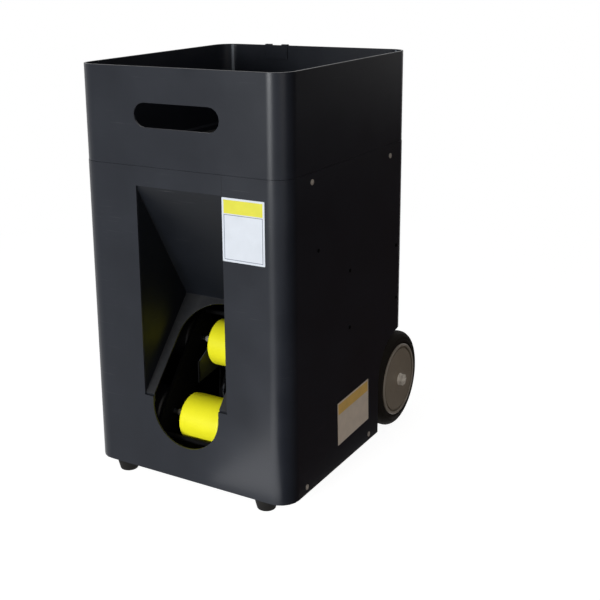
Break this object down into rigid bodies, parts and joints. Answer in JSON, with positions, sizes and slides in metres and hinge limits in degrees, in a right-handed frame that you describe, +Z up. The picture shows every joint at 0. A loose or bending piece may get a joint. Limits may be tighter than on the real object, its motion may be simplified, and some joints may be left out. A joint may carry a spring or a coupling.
{
  "type": "ball launcher",
  "caption": "Wheeled ball launcher: open ball hopper, front launch slot, spinning launch wheels on a tilting head, rotating ball feeder and telescopic pull handle.",
  "frame": {"origin": "on the floor, under the middle of the part's outline", "axes": "+Z up; the front with the launch slot faces -Y; +X is to the right of someone who looks at the front"},
  "size_m": [0.3806, 0.471, 0.6518],
  "materials": {
    "black_shell": "satin black with a fine moulded grain",
    "dark_plastic": "dark blue-black, satin",
    "black_rubber": "matt black",
    "steel": "bright zinc-plated steel",
    "motor_black": "black-coated motor can",
    "sheet_metal": "grey folded sheet",
    "battery_case": "dark blue battery case",
    "circuit_board": "green circuit board",
    "black_tube": "black-coated tube",
    "feeder_grey": "light grey plastic",
    "aluminium_plate": "plain rolled plate",
    "black_plate": "black-anodised plate",
    "chute_grey": "grey plastic",
    "gear_nylon": "natural white nylon",
    "yellow_wheel": "bright yellow, slightly glossy",
    "tyre": "dark solid rubber",
    "hub_grey": "warm grey plastic disc",
    "handle_rod": "satin tube",
    "red_plastic": "red plastic",
    "black_knob": "black plastic with a white pointer line"
  },
  "bodies": {
    "root": {"casing": "black_shell", "recess_liner": "dark_plastic", "rear_panel": "black_shell", "base_tray": "dark_plastic", "wheel_well_left": "dark_plastic", "wheel_well_right": "dark_plastic", "front_foot_left": "black_rubber", "front_foot_right": "black_rubber", "axle": "steel", "axle_nut_left": "steel", "axle_nut_right": "steel", "hopper": "black_shell", "rim_clip": "dark_plastic", "feed_deck": "dark_plastic", "ball_guard": "dark_plastic", "feed_motor": "motor_black", "drop_tube": "dark_plastic", "tie_rod": "steel", "battery_shelf": "sheet_metal", "battery": "battery_case", "control_panel": "dark_plastic", "control_board": "circuit_board", "charge_socket": "steel", "handle_tube_left": "black_tube", "handle_tube_right": "black_tube", "handle_bracket_upper": "dark_plastic", "handle_bracket_lower": "dark_plastic", "pan_bearing": "steel", "pan_motor": "motor_black"},
    "carousel": {"carousel": "feeder_grey"},
    "yoke": {"turntable": "aluminium_plate", "yoke_arm_left": "black_plate", "yoke_arm_right": "black_plate", "ball_chute": "chute_grey", "elevation_motor": "motor_black"},
    "pan_pinion": {"pan_pinion": "gear_nylon"},
    "head": {"head_plate_left": "black_plate", "head_plate_right": "black_plate", "head_tie_upper": "black_plate", "head_tie_lower": "black_plate", "sector_gear": "steel", "launch_motor_upper": "motor_black", "launch_motor_lower": "motor_black"},
    "elevation_pinion": {"elevation_pinion": "gear_nylon"},
    "launch_upper": {"launch_wheel_upper": "yellow_wheel", "launch_shaft_upper": "steel"},
    "launch_lower": {"launch_wheel_lower": "yellow_wheel", "launch_shaft_lower": "steel"},
    "wheel_left": {"tyre_left": "tyre", "hub_left": "hub_grey"},
    "wheel_right": {"tyre_right": "tyre", "hub_right": "hub_grey"},
    "handle": {"handle_rod_left": "handle_rod", "handle_rod_right": "handle_rod", "handle_grip": "black_rubber"},
    "button": {"handle_button": "red_plastic"},
    "rocker": {"power_rocker": "red_plastic"},
    "speed_dial": {"speed_knob": "black_knob"},
    "feed_dial": {"feed_knob": "black_knob"},
    "door": {"battery_door": "black_shell"}
  },
  "joints": [
    {"name": "transport_wheel_left", "type": "hinge", "parent": "root", "child": "wheel_left", "pos_m": [0, 0.1525, 0.083], "axis": [1, 0, 0], "continuous": true},
    {"name": "transport_wheel_right", "type": "hinge", "parent": "root", "child": "wheel_right", "pos_m": [0, 0.1525, 0.083], "axis": [1, 0, 0], "continuous": true},
    {"name": "feeder_spin", "type": "hinge", "parent": "root", "child": "carousel", "pos_m": [0, -0.0585, 0.437], "axis": [0, 0, 1], "continuous": true},
    {"name": "sweep", "type": "hinge", "parent": "root", "child": "yoke", "pos_m": [0, 0.0095, 0.0276], "axis": [0, 0, 1], "range_deg": [-6, 6]},
    {"name": "sweep_pinion", "type": "hinge", "parent": "root", "child": "pan_pinion", "pos_m": [-0.07849, 0.08799, 0.0276], "axis": [0, 0, 1], "range_deg": [-40, 40]},
    {"name": "elevation", "type": "hinge", "parent": "yoke", "child": "head", "pos_m": [0, -0.1245, 0.141], "axis": [-1, 0, 0], "range_deg": [-25, 5]},
    {"name": "elevation_pinion", "type": "hinge", "parent": "yoke", "child": "elevation_pinion", "pos_m": [0.07, -0.05089, 0.0985], "axis": [-1, 0, 0], "range_deg": [-25, 118]},
    {"name": "launch_spin_upper", "type": "hinge", "parent": "head", "child": "launch_upper", "pos_m": [0, -0.08304, 0.19041], "axis": [1, 0, 0], "continuous": true},
    {"name": "launch_spin_lower", "type": "hinge", "parent": "head", "child": "launch_lower", "pos_m": [0, -0.16596, 0.09159], "axis": [1, 0, 0], "continuous": true},
    {"name": "handle_slide", "type": "slide", "parent": "root", "child": "handle", "axis": [0, 0, 1], "range_m": [0, 0.32]},
    {"name": "handle_release", "type": "slide", "parent": "handle", "child": "button", "axis": [0, 0, -1], "range_m": [0, 0.003], "stiffness_N_per_m": 300},
    {"name": "power_switch", "type": "hinge", "parent": "root", "child": "rocker", "pos_m": [-0.042, 0.1683, 0.41], "axis": [1, 0, 0], "range_deg": [-8, 8]},
    {"name": "speed_dial", "type": "hinge", "parent": "root", "child": "speed_dial", "pos_m": [0.002, 0.1696, 0.41], "axis": [0, 1, 0], "range_deg": [-135, 135]},
    {"name": "feed_dial", "type": "hinge", "parent": "root", "child": "feed_dial", "pos_m": [0.038, 0.1696, 0.41], "axis": [0, 1, 0], "range_deg": [-135, 135]},
    {"name": "battery_door", "type": "hinge", "parent": "root", "child": "door", "pos_m": [-0.0933, 0.1693, 0.2245], "axis": [0, 0, 1], "range_deg": [0, 100]}
  ],
  "couplings": [
    {"joint": "sweep_pinion", "follows": "sweep", "ratio": -6.4},
    {"joint": "elevation_pinion", "follows": "elevation", "ratio": -4.6667}
  ]
}
